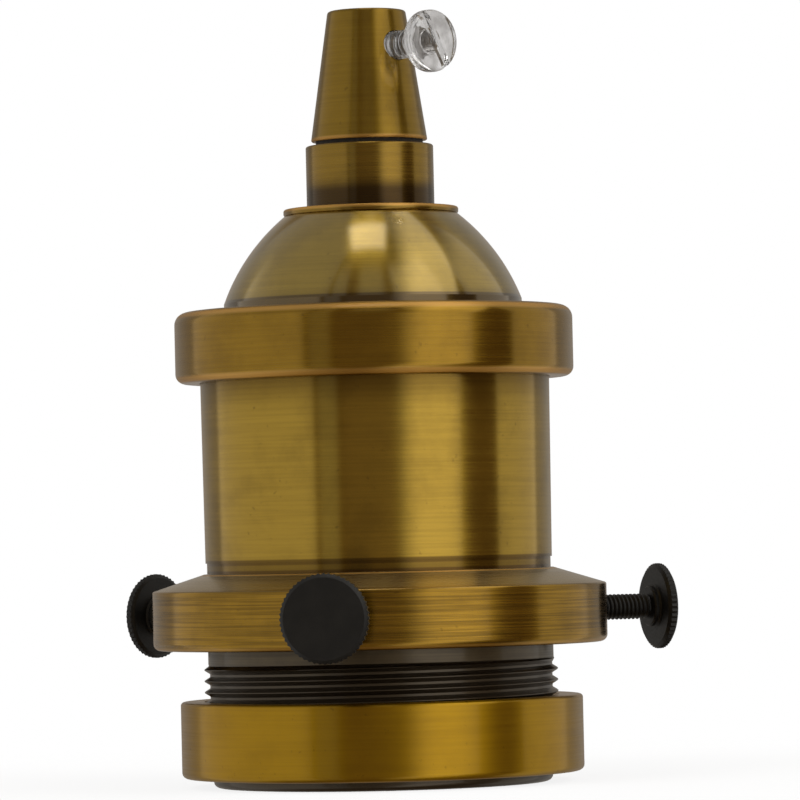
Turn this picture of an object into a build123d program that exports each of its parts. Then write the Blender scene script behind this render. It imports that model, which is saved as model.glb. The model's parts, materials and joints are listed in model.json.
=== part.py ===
from build123d import *
import os

# Lamp holder for a screw-in lamp, with a cord grip at the top and a three-screw shade gallery.
# Millimetres, +Z up. The origin is the middle of the lamp mouth, level with the bottom rim.

os.makedirs("parts", exist_ok=True)

# Clearances
thread_gap = 0.1
slide_gap = 0.1
insert_gap = 0.2
press_gap = 0.02

# Lamp screw shell and the insulating insert round it, from the lamp outwards
shell_bore_r = 13.1
shell_wall = 0.3
shell_thread_length = 15.0
shell_taper_height = 1.6
shell_floor_r = 11.0
shell_floor_hole_r = 4.0
shell_mouth_setback = 0.5
shell_side_gap = 0.3
insert_tube_wall = 1.5
insert_flange_height = 3.4
insert_platform_height = 3.0
insert_platform_inset = 2.0

# Dark skirt with the shade ring's thread
mouth_depth = 4.5
mouth_step = 0.8
spigot_wall = 2.2
spigot_length = 3.8
neck_step = 1.7
neck_length = 1.6
thread_height = 0.45
thread_length = 12.7
thread_lead_in = 0.4
rim_height = 1.1
rim_inset = 0.35
rim_edge = 0.7

# Shade ring
shade_ring_height = 8.5
shade_ring_wall = 2.62
shade_ring_top_edge = 0.4
shade_ring_bottom_edge = 0.65

# Shade gallery
gallery_recess = 4.9
gallery_wall = 1.18
gallery_face_height = 6.55
gallery_shoulder_rise = 1.85
gallery_seat_thickness = 1.3
gallery_seat_land = 0.6
gallery_bottom_edge = 0.8
gallery_top_edge = 0.25
gallery_ledge = 0.15

# Body shell
body_height = 21.3
body_thread_wall = 1.67
body_wall = 0.97
body_taper = 0.16
body_ledge_height = 1.2
body_ledge_width = 0.9
body_foot_height = 1.2
body_foot_depth = 0.16

# Cap: ring, dome and collar
cap_ring_height = 7.95
cap_ring_wall = 2.65
cap_ring_top_wall = 1.5
cap_ring_top_edge = 1.4
cap_ring_bottom_edge = 1.1
dome_flange_width = 2.85
dome_wall = 0.9
dome_skirt_rise = 0.85
dome_height = 10.55
dome_top_r = 9.7
dome_curve_r = 22.5
collar_foot_r = 9.8
collar_foot_height = 0.76
collar_r = 7.15
collar_height = 7.04
collar_edge = 0.25

# Hollow nipple through the cap, its nut and washer
nipple_r = 4.95
nipple_bore_r = 3.6
nipple_engagement = 4.7
nipple_tail = 1.0
locknut_width = 13.0
locknut_height = 2.5
lock_washer_r = 6.0
lock_washer_height = 0.5

# Cord grip and its screw
grip_base_r = 6.53
grip_top_r = 4.37
grip_height = 14.6
grip_edge = 0.35
grip_socket_spare = 0.3
cord_bore_r = 3.2
grip_screw_drop = 4.2
grip_screw_angle = -48.0
grip_screw_r = 1.6
grip_screw_tip = 3.35
grip_screw_stand_off = 5.15
grip_head_r = 3.45
grip_head_height = 2.0
grip_head_edge = 0.6
grip_slot_width = 0.9
grip_slot_depth = 0.8
grip_slot_angle = -60.0

# Thumbscrews and their bushes, one to each angle round the holder
thumbscrew_angles = {"front": 260.0, "right": 20.0, "left": 140.0}
thumbscrew_shown = 7.8
thumbscrew_length = 9.7
thumbscrew_r = 1.45
thumbscrew_rise = 3.6
thumb_head_r = 4.85
thumb_head_height = 1.2
thumb_head_edge = 0.25
thumb_hub_r = 2.3
thumb_hub_height = 0.7
bush_head_r = 2.75
bush_head_height = 0.75
bush_barrel_r = 2.2

# Centre contact
contact_stands_out = 1.3
plunger_tip_r = 1.9
plunger_lip_thickness = 1.0
plunger_flange_r = 2.75
plunger_flange_height = 1.0
plunger_guide_r = 1.4
plunger_guide_height = 2.0
spring_wire = 0.5
spring_turns = 6
spring_end_gap = 0.02

# Terminals and rivets on the insert
rivet_circle_r = 7.5
rivet_r = 1.2
rivet_head_r = 1.8
rivet_head_height = 0.6
rivet_gap = 0.1
terminal_plate_thickness = 0.8
terminal_plate_width = 5.0
terminal_block_length = 4.6
terminal_block_width = 7.0
terminal_block_height = 6.0
terminal_edge_inset = 1.5
terminal_wire_r = 1.2
terminal_wire_drop = 3.4
terminal_screw_r = 1.45
terminal_screw_head_r = 2.2
terminal_screw_head_height = 1.5
terminal_screw_shown = 0.6
barrier_thickness = 1.2
barrier_height = 5.5
barrier_offset = 4.6
barrier_length = 26.0

# Earth terminal in the dome
earth_tag_thickness = 0.5
earth_tag_r = 6.9
earth_tag_width = 5.0
earth_tag_reach = 8.6
earth_tag_drop = 7.4
earth_screw_r = 1.45
earth_screw_length = 4.2
earth_screw_head_r = 2.4
earth_screw_head_height = 1.4
earth_screw_rise = 2.6
earth_nut_width = 5.0
earth_nut_thickness = 1.8
screw_slot_width = 0.7
screw_slot_share = 0.45

# Radii that follow, from the lamp outwards
shell_r = shell_bore_r + shell_wall
insert_bore_r = shell_r + shell_side_gap
insert_tube_r = insert_bore_r + insert_tube_wall
skirt_bore_r = insert_tube_r + insert_gap
mouth_r = skirt_bore_r + mouth_step
spigot_r = skirt_bore_r + spigot_wall
neck_r = spigot_r + neck_step
thread_r = neck_r + thread_height
rim_r = neck_r - rim_inset
insert_flange_r = spigot_r - slide_gap
insert_platform_r = insert_flange_r - insert_platform_inset
body_thread_r = spigot_r + thread_gap
body_base_r = body_thread_r + body_thread_wall
body_top_r = body_base_r + body_taper
body_bore_r = body_base_r - body_wall
body_ledge_r = insert_flange_r - body_ledge_width
shade_ring_bore_r = thread_r + thread_gap
shade_ring_r = shade_ring_bore_r + shade_ring_wall
gallery_bore_r = neck_r + gallery_recess
gallery_r = gallery_bore_r + gallery_wall
cap_ring_bore_r = body_top_r + thread_gap
cap_ring_r = cap_ring_bore_r + cap_ring_wall
dome_base_r = body_top_r - dome_flange_width
nipple_hole_r = nipple_r + thread_gap

# Heights that follow, from the rim up
insert_bottom = mouth_depth + shell_mouth_setback
shell_bottom = insert_bottom + shell_mouth_setback
shell_thread_top = shell_bottom + shell_thread_length
insert_floor = shell_thread_top + shell_taper_height + shell_wall
shade_ring_bottom = rim_height
shade_ring_top = shade_ring_bottom + shade_ring_height
thread_top = rim_height + thread_length
gallery_bottom = thread_top + neck_length
gallery_top = gallery_bottom + gallery_face_height
body_bottom = gallery_top + gallery_shoulder_rise
skirt_shoulder = body_bottom - gallery_seat_thickness
spigot_top = body_bottom + spigot_length
insert_ledge = spigot_top + insert_flange_height
insert_top = insert_ledge + insert_platform_height
cap_ring_bottom = body_bottom + body_height
cap_ring_top = cap_ring_bottom + cap_ring_height
dome_flange_top = cap_ring_top - cap_ring_top_wall
body_top = dome_flange_top - dome_wall
dome_top = cap_ring_top + dome_height
collar_foot_top = dome_top + collar_foot_height
collar_top = collar_foot_top + collar_height
grip_bottom = collar_top + lock_washer_height
grip_top = grip_bottom + grip_height
nipple_top = grip_bottom + nipple_engagement
earth_tag_top = dome_top - dome_wall
locknut_top = earth_tag_top - earth_tag_thickness
locknut_bottom = locknut_top - locknut_height
nipple_bottom = locknut_bottom - nipple_tail
grip_screw_height = grip_top - grip_screw_drop
thumbscrew_height = gallery_bottom + thumbscrew_rise
terminal_plate_top = insert_top + terminal_plate_thickness


def outward(angle):
    return Vector(1, 0, 0).rotate(Axis.Z, angle)


def radial_plane(angle, height, distance=0.0):
    """Plane square to the line that leaves the holder's axis at this angle and height."""
    return Plane(origin=(0, 0, height), x_dir=outward(angle + 90), z_dir=outward(angle)).offset(distance)


def turn(outline, rounds=None, plane=Plane.XZ, axis=Axis.Z, mode=Mode.ADD):
    """Revolve an outline of (radius, height) points; rounds gives a point's number its edge radius."""
    with BuildSketch(plane) as profile:
        with BuildLine():
            Polyline(*outline, close=True)
        make_face()
        for number, radius in (rounds or {}).items():
            corner = profile.vertices().sort_by_distance((*outline[number], 0))[0]
            fillet(corner, radius)
    revolve(profile.sketch, axis=axis, mode=mode)


def turn_radially(angle, height, outline, rounds=None, mode=Mode.ADD):
    """Revolve (distance from the holder's axis, radius) points about a radial line."""
    side = Plane(origin=(0, 0, height), x_dir=outward(angle), z_dir=outward(angle - 90))
    turn(outline, rounds, side, Axis((0, 0, height), outward(angle)), mode)


def finish(piece, name):
    piece.part.label = name
    export_step(piece.part, f"parts/{name}.step")


# Dark skirt: bottom rim, shade thread at its crest, plain neck, spigot that screws into the body
with BuildPart() as threaded_skirt:
    turn(
        [
            (mouth_r, 0),
            (rim_r, 0),
            (rim_r, rim_height),
            (thread_r, rim_height + thread_lead_in),
            (thread_r, thread_top),
            (neck_r, thread_top),
            (neck_r, skirt_shoulder),
            (spigot_r, skirt_shoulder),
            (spigot_r, spigot_top),
            (skirt_bore_r, spigot_top),
            (skirt_bore_r, mouth_depth),
            (mouth_r, mouth_depth),
        ],
        {1: rim_edge},
    )
finish(threaded_skirt, "threaded_skirt")

# Shade ring on the skirt's thread
with BuildPart() as shade_ring:
    turn(
        [
            (shade_ring_bore_r, shade_ring_bottom),
            (shade_ring_r, shade_ring_bottom),
            (shade_ring_r, shade_ring_top),
            (shade_ring_bore_r, shade_ring_top),
        ],
        {1: shade_ring_bottom_edge, 2: shade_ring_top_edge},
    )
finish(shade_ring, "shade_ring")

# Gallery: upright wall for the thumbscrews, sloping shoulder, seat between skirt and body
with BuildPart() as gallery_flange:
    turn(
        [
            (body_thread_r, body_bottom),
            (body_base_r + gallery_ledge, body_bottom),
            (gallery_r, gallery_top),
            (gallery_r, gallery_bottom),
            (gallery_bore_r, gallery_bottom),
            (gallery_bore_r, gallery_top - gallery_wall),
            (neck_r + gallery_seat_land, skirt_shoulder),
            (body_thread_r, skirt_shoulder),
        ],
        {2: gallery_top_edge, 3: gallery_bottom_edge},
    )
    for angle in thumbscrew_angles.values():
        with BuildSketch(radial_plane(angle, thumbscrew_height, neck_r)):
            Circle(bush_barrel_r + press_gap)
        extrude(amount=gallery_r, mode=Mode.SUBTRACT)
finish(gallery_flange, "gallery_flange")

# Thumbscrews, each in a black bush with a flat head outside the gallery's wall
head_foot = gallery_r + thumbscrew_shown
head_face = head_foot + thumb_head_height
for side, angle in thumbscrew_angles.items():
    with BuildPart() as screw_bush:
        turn_radially(
            angle,
            thumbscrew_height,
            [
                (gallery_bore_r, thumbscrew_r + slide_gap),
                (gallery_bore_r, bush_barrel_r),
                (gallery_r, bush_barrel_r),
                (gallery_r, bush_head_r),
                (gallery_r + bush_head_height, bush_head_r),
                (gallery_r + bush_head_height, thumbscrew_r + slide_gap),
            ],
        )
    finish(screw_bush, f"screw_bush_{side}")

    with BuildPart() as thumbscrew:
        turn_radially(
            angle,
            thumbscrew_height,
            [
                (head_foot - thumbscrew_length, 0),
                (head_foot - thumbscrew_length, thumbscrew_r),
                (head_foot - thumb_hub_height, thumbscrew_r),
                (head_foot - thumb_hub_height, thumb_hub_r),
                (head_foot, thumb_hub_r),
                (head_foot, thumb_head_r),
                (head_face, thumb_head_r),
                (head_face, 0),
            ],
            {5: thumb_head_edge, 6: thumb_head_edge},
        )
    finish(thumbscrew, f"thumbscrew_{side}")

# Body tube: threaded foot for the skirt, ledge over the insert, slight flare to the top
with BuildPart() as body_shell:
    turn(
        [
            (body_thread_r, body_bottom),
            (body_base_r - body_foot_depth, body_bottom),
            (body_base_r - body_foot_depth, body_bottom + body_foot_height),
            (body_base_r, body_bottom + body_foot_height),
            (body_top_r, body_top),
            (body_bore_r, body_top),
            (body_bore_r, insert_ledge + body_ledge_height),
            (body_ledge_r, insert_ledge + body_ledge_height),
            (body_ledge_r, insert_ledge),
            (body_thread_r, insert_ledge),
        ]
    )
finish(body_shell, "body_shell")

# Cap ring: screws over the body's top and holds the dome's flange down on it
with BuildPart() as cap_ring:
    turn(
        [
            (cap_ring_bore_r, cap_ring_bottom),
            (cap_ring_r, cap_ring_bottom),
            (cap_ring_r, cap_ring_top),
            (dome_base_r + slide_gap, cap_ring_top),
            (dome_base_r + slide_gap, dome_flange_top),
            (cap_ring_bore_r, dome_flange_top),
        ],
        {1: cap_ring_bottom_edge, 2: cap_ring_top_edge},
    )
finish(cap_ring, "cap_ring")

# Dome: spun shell with a flange turned out at its foot and a hole for the nipple
dome_spring = cap_ring_top + dome_skirt_rise
with BuildPart() as dome_cap:
    with BuildSketch(Plane.XZ) as dome_half:
        with BuildLine():
            crown = RadiusArc((dome_base_r, dome_spring), (dome_top_r, dome_top), -dome_curve_r)
            Polyline(
                crown @ 1,
                (0, dome_top),
                (0, body_top),
                (dome_base_r, body_top),
                crown @ 0,
            )
        make_face()
    revolve(axis=Axis.Z)
    offset(amount=-dome_wall, openings=faces().sort_by(Axis.Z)[0])
    with BuildSketch(Plane.XY.offset(body_top)):
        Circle(body_top_r)
        Circle(dome_base_r - dome_wall, mode=Mode.SUBTRACT)
    extrude(amount=dome_wall)
    with BuildSketch(Plane.XY.offset(dome_top)):
        Circle(nipple_hole_r)
    extrude(amount=-2 * dome_wall, mode=Mode.SUBTRACT)
finish(dome_cap, "dome_cap")

# Collar with its foot disc, turned in one piece
with BuildPart() as entry_collar:
    turn(
        [
            (nipple_hole_r, dome_top),
            (collar_foot_r, dome_top),
            (collar_foot_r, collar_foot_top),
            (collar_r, collar_foot_top),
            (collar_r, collar_top),
            (nipple_hole_r, collar_top),
        ],
        {1: collar_edge, 2: collar_edge, 4: collar_edge},
    )
finish(entry_collar, "entry_collar")

with BuildPart() as lock_washer:
    with BuildSketch(Plane.XY.offset(collar_top)):
        Circle(lock_washer_r)
        Circle(nipple_hole_r, mode=Mode.SUBTRACT)
    extrude(amount=lock_washer_height)
finish(lock_washer, "lock_washer")

# Hollow nipple that ties cord grip, collar and dome together
with BuildPart() as cap_nipple:
    with BuildSketch(Plane.XY.offset(nipple_bottom)):
        Circle(nipple_r)
        Circle(nipple_bore_r, mode=Mode.SUBTRACT)
    extrude(amount=nipple_top - nipple_bottom)
finish(cap_nipple, "cap_nipple")

with BuildPart() as nipple_locknut:
    with BuildSketch(Plane.XY.offset(locknut_bottom)):
        RegularPolygon(locknut_width / 2, 6, major_radius=False)
        Circle(nipple_hole_r, mode=Mode.SUBTRACT)
    extrude(amount=locknut_height)
finish(nipple_locknut, "nipple_locknut")

# Cord grip: cone bored for the cord, socket below for the nipple, tapped hole in its side
with BuildPart() as cord_grip:
    turn(
        [
            (nipple_hole_r, grip_bottom),
            (grip_base_r, grip_bottom),
            (grip_top_r, grip_top),
            (cord_bore_r, grip_top),
            (cord_bore_r, nipple_top + grip_socket_spare),
            (nipple_hole_r, nipple_top + grip_socket_spare),
        ],
        {1: grip_edge / 2, 2: grip_edge},
    )
    with BuildSketch(radial_plane(grip_screw_angle, grip_screw_height)):
        Circle(grip_screw_r + slide_gap)
    extrude(amount=grip_base_r, mode=Mode.SUBTRACT)
finish(cord_grip, "cord_grip")

# Clear plastic grip screw, slotted across its rounded head
grip_head_foot = grip_top_r + grip_screw_stand_off
grip_head_face = grip_head_foot + grip_head_height
with BuildPart() as grip_screw:
    turn_radially(
        grip_screw_angle,
        grip_screw_height,
        [
            (grip_screw_tip, 0),
            (grip_screw_tip, grip_screw_r),
            (grip_head_foot, grip_screw_r),
            (grip_head_foot, grip_head_r),
            (grip_head_face, grip_head_r),
            (grip_head_face, 0),
        ],
        {3: grip_head_edge, 4: grip_head_edge},
    )
    with BuildSketch(radial_plane(grip_screw_angle, grip_screw_height, grip_head_face)):
        Rectangle(2 * grip_head_r, grip_slot_width, rotation=grip_slot_angle)
    extrude(amount=-grip_slot_depth, mode=Mode.SUBTRACT)
finish(grip_screw, "grip_screw")

# Lamp screw shell: straight wall at the thread's mean radius, drawn in to a floor ring
with BuildPart() as screw_shell:
    turn(
        [
            (shell_bore_r, shell_bottom),
            (shell_r, shell_bottom),
            (shell_r, shell_thread_top),
            (shell_floor_r + shell_wall, insert_floor),
            (shell_floor_hole_r, insert_floor),
            (shell_floor_hole_r, insert_floor - shell_wall),
            (shell_floor_r, insert_floor - shell_wall),
            (shell_bore_r, shell_thread_top),
        ]
    )
    with PolarLocations(rivet_circle_r, 3, start_angle=60):
        Cylinder(rivet_r + rivet_gap, 2 * insert_floor, mode=Mode.SUBTRACT)
finish(screw_shell, "screw_shell")

# Insulating insert: tube round the shell, flange clamped in the body, platform with a barrier
with BuildPart() as porcelain_insert:
    turn(
        [
            (0, insert_floor),
            (insert_bore_r, insert_floor),
            (insert_bore_r, insert_bottom),
            (insert_tube_r, insert_bottom),
            (insert_tube_r, spigot_top),
            (insert_flange_r, spigot_top),
            (insert_flange_r, insert_ledge),
            (insert_platform_r, insert_ledge),
            (insert_platform_r, insert_top),
            (0, insert_top),
        ]
    )
    with BuildSketch(Plane.XY.offset(insert_top)):
        with Locations((-barrier_offset, 0)):
            Rectangle(barrier_thickness, barrier_length)
    extrude(amount=barrier_height)
    with BuildSketch(Plane.XY.offset(insert_floor)):
        Circle(plunger_tip_r + slide_gap)
        with PolarLocations(rivet_circle_r, 3, start_angle=60):
            Circle(rivet_r + rivet_gap)
    extrude(until=Until.LAST, mode=Mode.SUBTRACT)
    with BuildSketch(Plane.XY.offset(insert_floor + plunger_lip_thickness)):
        Circle(plunger_flange_r + slide_gap)
    extrude(until=Until.LAST, mode=Mode.SUBTRACT)
finish(porcelain_insert, "porcelain_insert")

# Rivets through shell and insert; the first also holds the shell's terminal
for number, angle in enumerate((180, 60, 300), start=1):
    clinch = terminal_plate_top if number == 1 else insert_top
    at = outward(angle) * rivet_circle_r
    with BuildPart() as shell_rivet:
        with BuildSketch(Plane.XY.offset(insert_floor - shell_wall)):
            with Locations((at.X, at.Y)):
                Circle(rivet_r)
        extrude(amount=clinch - insert_floor + shell_wall)
        with BuildSketch(Plane.XY.offset(insert_floor - shell_wall)):
            with Locations((at.X, at.Y)):
                Circle(rivet_head_r)
        extrude(amount=-rivet_head_height)
        with BuildSketch(Plane.XY.offset(clinch)):
            with Locations((at.X, at.Y)):
                Circle(rivet_head_r)
        extrude(amount=rivet_head_height)
    finish(shell_rivet, f"shell_rivet_{number}")

# Sprung centre contact
plunger_tip = insert_floor - shell_wall - contact_stands_out
plunger_seat = insert_floor + plunger_lip_thickness
spring_foot = plunger_seat + plunger_flange_height
with BuildPart() as centre_plunger:
    turn(
        [
            (0, plunger_tip),
            (plunger_tip_r, plunger_tip),
            (plunger_tip_r, plunger_seat),
            (plunger_flange_r, plunger_seat),
            (plunger_flange_r, spring_foot),
            (plunger_guide_r, spring_foot),
            (plunger_guide_r, spring_foot + plunger_guide_height),
            (0, spring_foot + plunger_guide_height),
        ],
        {1: plunger_tip_r / 2},
    )
finish(centre_plunger, "centre_plunger")

spring_low = spring_foot + spring_wire / 2 + spring_end_gap
spring_high = insert_top - spring_wire / 2 - spring_end_gap
spring_r = plunger_flange_r - spring_wire / 2 - slide_gap
spring_pitch = (spring_high - spring_low) / spring_turns
with BuildPart() as plunger_spring:
    with BuildLine():
        coil = Helix(spring_pitch, spring_high - spring_low, spring_r, center=(0, 0, spring_low))
    with BuildSketch(Plane(origin=coil @ 0, z_dir=coil % 0)):
        Circle(spring_wire / 2)
    sweep()
finish(plunger_spring, "plunger_spring")

# Terminals: a plate on the insert with a drilled block at its outer end
block_outer = insert_platform_r - terminal_edge_inset
for name, side, inner_end in (
    ("centre_terminal", 1, -plunger_flange_r - slide_gap),
    ("shell_terminal", -1, barrier_offset + barrier_thickness),
):
    plate_length = block_outer - inner_end
    block_middle = side * (block_outer - terminal_block_length / 2)
    with BuildPart() as terminal:
        with BuildSketch(Plane.XY.offset(insert_top)):
            with Locations((side * (inner_end + plate_length / 2), 0)):
                Rectangle(plate_length, terminal_plate_width)
        extrude(amount=terminal_plate_thickness)
        with BuildSketch(Plane.XY.offset(insert_top)):
            with Locations((block_middle, 0)):
                Rectangle(terminal_block_length, terminal_block_width)
        extrude(amount=terminal_block_height)
        with Locations((block_middle, 0, insert_top + terminal_block_height - terminal_wire_drop)):
            Cylinder(terminal_wire_r, terminal_block_width, rotation=(90, 0, 0), mode=Mode.SUBTRACT)
        with BuildSketch(Plane.XY.offset(insert_top + terminal_block_height)):
            with Locations((block_middle, 0)):
                Circle(terminal_screw_r + press_gap)
        extrude(amount=-terminal_wire_drop, mode=Mode.SUBTRACT)
        if side < 0:
            with BuildSketch(Plane.XY.offset(insert_top)):
                with Locations((-rivet_circle_r, 0)):
                    Circle(rivet_r + rivet_gap)
            extrude(amount=terminal_plate_thickness, mode=Mode.SUBTRACT)
    finish(terminal, name)

    clamp_head = insert_top + terminal_block_height + terminal_screw_shown
    with BuildPart() as terminal_screw:
        with BuildSketch(Plane.XY.offset(clamp_head)):
            with Locations((block_middle, 0)):
                Circle(terminal_screw_head_r)
        extrude(amount=terminal_screw_head_height)
        with BuildSketch(Plane.XY.offset(clamp_head + terminal_screw_head_height)):
            with Locations((block_middle, 0)):
                Rectangle(2 * terminal_screw_head_r, screw_slot_width)
        extrude(amount=-screw_slot_share * terminal_screw_head_height, mode=Mode.SUBTRACT)
        with BuildSketch(Plane.XY.offset(clamp_head)):
            with Locations((block_middle, 0)):
                Circle(terminal_screw_r)
        extrude(amount=-(terminal_screw_shown + terminal_wire_drop - terminal_wire_r))
    finish(terminal_screw, "terminal_screw_live" if side > 0 else "terminal_screw_neutral")

# Earth tag: ring under the locknut with an arm bent down, its screw and square nut
earth_screw_height = earth_tag_top - earth_tag_drop + earth_screw_rise
with BuildPart() as earth_tag:
    with BuildSketch(Plane.XY.offset(locknut_top)):
        Circle(earth_tag_r)
        with Locations((0, earth_tag_reach / 2)):
            Rectangle(earth_tag_width, earth_tag_reach)
        Circle(nipple_hole_r, mode=Mode.SUBTRACT)
    extrude(amount=earth_tag_thickness)
    with BuildSketch(Plane.XY.offset(earth_tag_top)):
        with Locations((0, earth_tag_reach - earth_tag_thickness / 2)):
            Rectangle(earth_tag_width, earth_tag_thickness)
    extrude(amount=-earth_tag_drop)
    with BuildSketch(radial_plane(90, earth_screw_height)):
        Circle(earth_screw_r + press_gap)
    extrude(amount=earth_tag_reach, mode=Mode.SUBTRACT)
finish(earth_tag, "earth_tag")

earth_arm_inner = earth_tag_reach - earth_tag_thickness
with BuildPart() as earth_screw:
    turn_radially(
        90,
        earth_screw_height,
        [
            (earth_arm_inner - earth_screw_head_height, 0),
            (earth_arm_inner - earth_screw_head_height, earth_screw_head_r),
            (earth_arm_inner, earth_screw_head_r),
            (earth_arm_inner, earth_screw_r),
            (earth_arm_inner + earth_screw_length, earth_screw_r),
            (earth_arm_inner + earth_screw_length, 0),
        ],
    )
    with BuildSketch(radial_plane(90, earth_screw_height, earth_arm_inner - earth_screw_head_height)):
        Rectangle(2 * earth_screw_head_r, screw_slot_width)
    extrude(amount=screw_slot_share * earth_screw_head_height, mode=Mode.SUBTRACT)
finish(earth_screw, "earth_screw")

with BuildPart() as earth_nut:
    with BuildSketch(radial_plane(90, earth_screw_height, earth_tag_reach)):
        Rectangle(earth_nut_width, earth_nut_width)
        Circle(earth_screw_r + press_gap, mode=Mode.SUBTRACT)
    extrude(amount=earth_nut_thickness)
finish(earth_nut, "earth_nut")
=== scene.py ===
import json
import math

import bmesh
import bpy
from mathutils import Matrix, Vector

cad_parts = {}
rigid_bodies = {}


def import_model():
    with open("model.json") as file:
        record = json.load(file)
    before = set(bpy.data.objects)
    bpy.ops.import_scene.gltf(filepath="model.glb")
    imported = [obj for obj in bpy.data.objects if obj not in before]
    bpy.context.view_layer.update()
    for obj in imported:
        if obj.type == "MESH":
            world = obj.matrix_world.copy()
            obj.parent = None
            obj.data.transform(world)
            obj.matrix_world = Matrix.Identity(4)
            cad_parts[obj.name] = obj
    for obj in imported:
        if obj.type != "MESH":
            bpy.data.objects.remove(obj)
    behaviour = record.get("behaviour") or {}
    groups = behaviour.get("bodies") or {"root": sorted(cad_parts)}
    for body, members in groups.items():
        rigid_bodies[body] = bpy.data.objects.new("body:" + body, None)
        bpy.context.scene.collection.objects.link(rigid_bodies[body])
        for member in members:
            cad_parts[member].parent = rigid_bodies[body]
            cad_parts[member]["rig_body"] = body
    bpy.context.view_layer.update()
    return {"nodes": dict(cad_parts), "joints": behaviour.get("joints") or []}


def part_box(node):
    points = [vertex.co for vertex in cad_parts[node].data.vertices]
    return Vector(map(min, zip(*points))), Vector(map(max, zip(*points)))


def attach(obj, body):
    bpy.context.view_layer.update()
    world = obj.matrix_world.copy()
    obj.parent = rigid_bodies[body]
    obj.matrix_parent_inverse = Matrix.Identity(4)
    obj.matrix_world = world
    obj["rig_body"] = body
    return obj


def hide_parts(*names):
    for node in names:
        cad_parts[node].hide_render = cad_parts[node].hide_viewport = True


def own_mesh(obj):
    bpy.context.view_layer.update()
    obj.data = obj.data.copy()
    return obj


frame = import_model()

# Metres, in the frame of the solids: +Z up the holder's axis, the lamp mouth's rim at Z 0.
MM = 0.001


def mm(*values):
    """Metres from millimetres."""
    return [value * MM for value in values]


# Sizes read from the solids
def low_and_high(node):
    low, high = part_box(node)
    return low.z, high.z


def radius_of(node):
    return max(math.hypot(v.co.x, v.co.y) for v in frame["nodes"][node].data.vertices)


rim_top, ring_top = low_and_high("shade_ring")
gallery_low, gallery_high = low_and_high("gallery_flange")
body_low, body_high = low_and_high("body_shell")
cap_ring_low, cap_ring_high = low_and_high("cap_ring")
skirt_low, spigot_top = low_and_high("threaded_skirt")
shell_low, shell_high = low_and_high("screw_shell")
nipple_low, nipple_high = low_and_high("cap_nipple")
collar_low = low_and_high("entry_collar")[0]
grip_low = low_and_high("cord_grip")[0]
thread_crest = radius_of("threaded_skirt")
ring_radius = radius_of("shade_ring")
gallery_radius = radius_of("gallery_flange")
cap_ring_radius = radius_of("cap_ring")
collar_radius = radius_of("entry_collar")
grip_radius = radius_of("cord_grip")
nipple_crest = radius_of("cap_nipple")

# Play between two threads that mesh, and how near to a thread's start the wall before it has a row of
# points, which keeps that wall's shading level
thread_gap = 0.1 * MM
row_guard = 0.06 * MM

# Skirt: lamp mouth, rim, thread for the shade ring, neck, seat of the gallery, and spigot for the body
mouth_radius, bore_radius, mouth_depth = mm(16.2, 15.4, 4.5)
rim_radius, rim_edge = mm(18.95, 0.7)
thread_root, skirt_pitch, skirt_thread_at = mm(19.13, 1.25, 0.62)
neck_radius, neck_length = mm(19.3, 1.6)
seat_thickness = 1.3 * MM
spigot_radius, spigot_root, spigot_length, spigot_pitch = mm(17.6, 17.2, 3.8, 1.0)

# Shade ring, with its edges at the foot and the top
ring_bore = 19.85 * MM
ring_edges = mm(0.65, 0.4)

# Body tube, and the insert's flange that its ledge holds down
body_foot, body_foot_height, body_base, body_top = mm(19.21, 1.2, 19.37, 19.53)
body_bore, body_ledge, body_ledge_height = mm(18.4, 16.6, 1.2)
insert_flange_height = 3.4 * MM

# Cap ring, with its edges at the foot and the top
cap_thread_start, cap_thread_root, cap_pitch = mm(0.3, 19.2, 1.0)
cap_ring_hole, cap_ring_lip = mm(16.78, 1.5)
cap_ring_edges = mm(1.1, 1.4)

# Lamp shell and nipple
lamp_pitch, lamp_crest, lamp_root = mm(3.63, 12.25, 13.25)
shell_wall, shell_mouth, shell_floor, shell_hole = mm(0.3, 13.1, 11.0, 4.0)
shell_thread_length = 15.0 * MM
nipple_bore, nipple_root, nipple_pitch = mm(3.6, 4.4, 1.0)

# Thumbscrews: shank, head and hub, their edges, and the head's knurled edge and its flat middle
thumb_crest, thumb_core, thumb_pitch = mm(1.45, 1.2, 0.5)
thumb_head, thumb_head_height, thumb_hub, thumb_hub_height = mm(4.85, 1.2, 2.3, 0.7)
thumb_head_edge, thumb_hub_edge, thumb_hub_foot = mm(0.3, 0.15, 0.2)
knurl_depth, flat_middle = mm(0.16, 0.4)
knurl_teeth = 52

# Clear screw: shank, head with its edges at the foot and the face, neck and slot
grip_crest, grip_core, grip_pitch = mm(1.6, 1.28, 0.7)
grip_head, grip_head_height = mm(3.45, 2.0)
grip_head_edges = mm(0.55, 0.8)
grip_neck_height, grip_neck_fillet = mm(0.6, 0.25)
slot_width, slot_depth = mm(0.9, 0.8)
slot_turn = math.radians(-60)

# Plunger's spring
spring_wire, spring_end_gap = mm(0.5, 0.02)
spring_turns = 6

# How finely the meshes are made
fine_columns, coarse_columns, shell_columns = 240, 96, 128
arc_steps, roll_steps = 8, 12
wire_corners, wire_steps = 12, 32
weld_distance = 0.0002 * MM


# Mesh helpers: a piece is a stack of rows, each with one (radius, height) for every column round the axis
def smooth(share):
    """A share from 0 to 1 with a soft start and end."""
    share = min(max(share, 0.0), 1.0)
    return share * share * (3 - 2 * share)


def circles(points, columns):
    """One round row for each (radius, height)."""
    return [[point] * (columns + 1) for point in points]


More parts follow.
